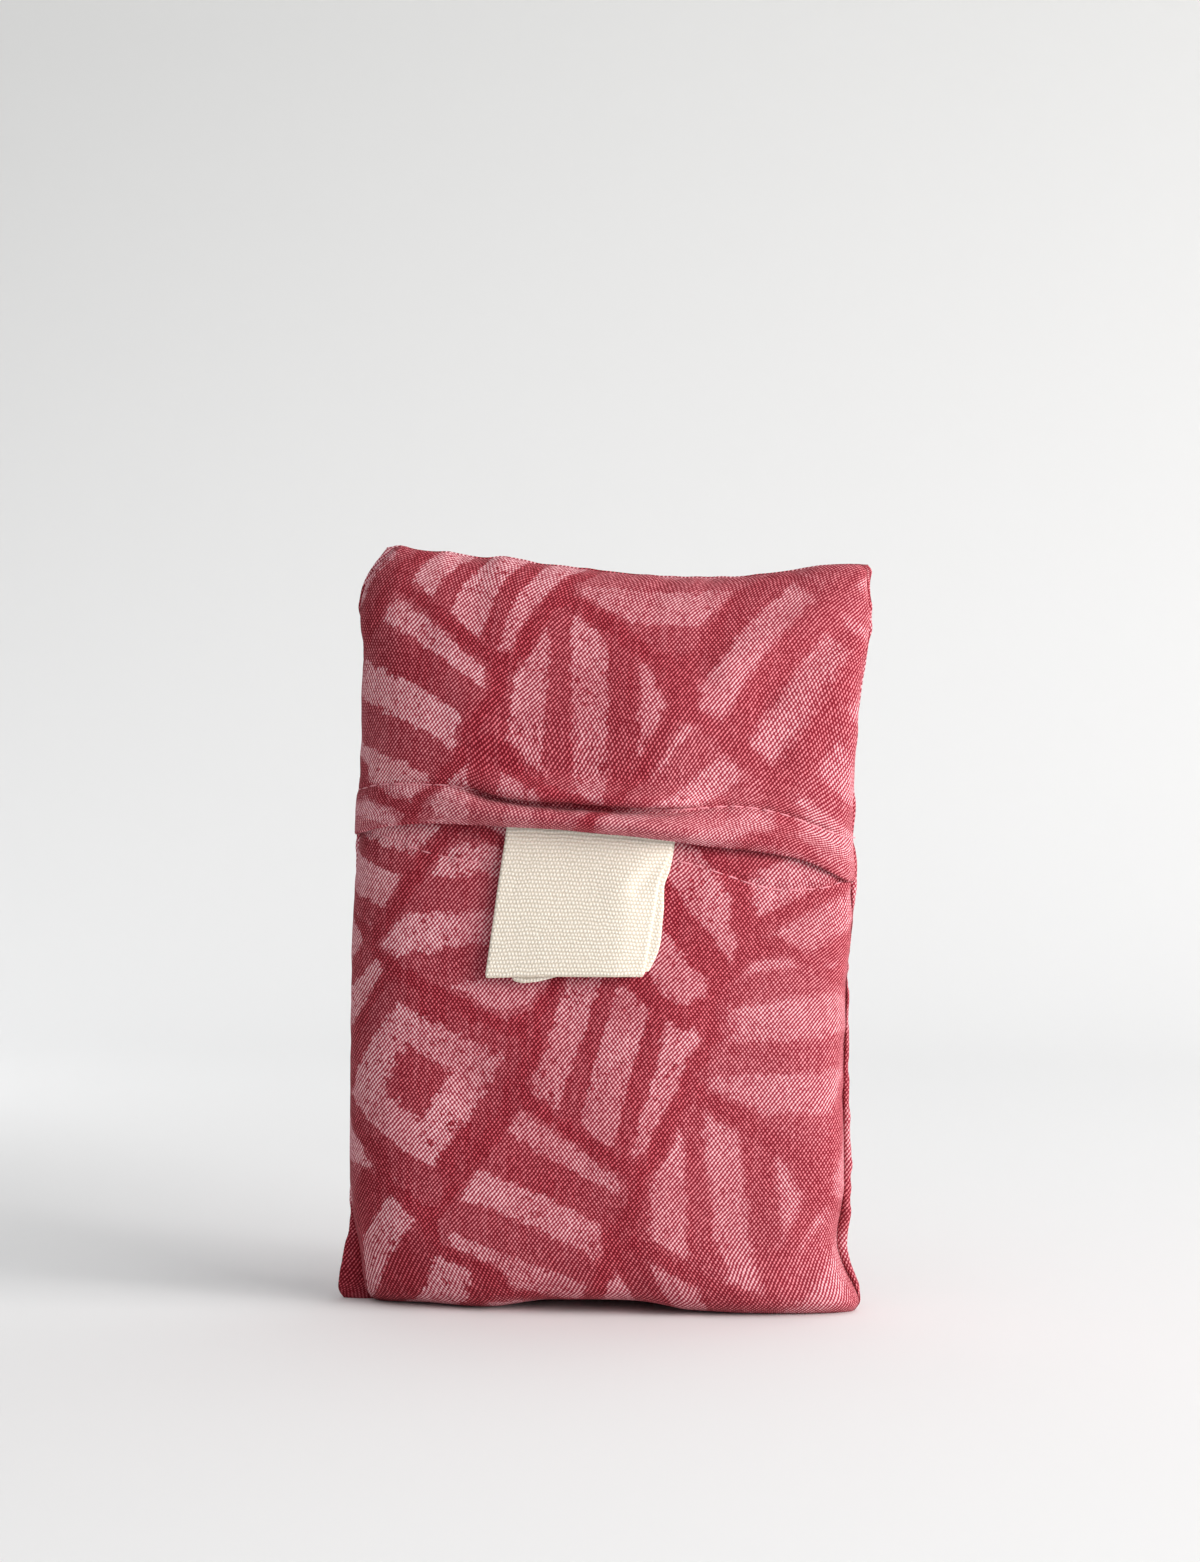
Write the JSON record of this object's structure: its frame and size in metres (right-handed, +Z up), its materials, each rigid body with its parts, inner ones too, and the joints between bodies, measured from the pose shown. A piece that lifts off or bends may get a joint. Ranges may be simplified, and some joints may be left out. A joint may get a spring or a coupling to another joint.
{
  "type": "reusable shopping bag folded in its pouch",
  "caption": "Cloth shopping bag folded away in its own filled pouch, with a hemmed flap over the opening and a folded tape label, standing upright.",
  "frame": {"origin": "on the floor, under the middle of the pouch's box", "axes": "+Z up, -Y towards the front with the flap and label, +X to the right seen from the front"},
  "size_m": [0.1067, 0.0382, 0.1509],
  "materials": {
    "printed_cloth": "crimson and pink printed crepe, matt",
    "cotton_tape": "undyed woven cotton tape, matt"
  },
  "bodies": {
    "root": {"pouch": "printed_cloth", "flap": "printed_cloth", "label": "cotton_tape"}
  },
  "joints": []
}
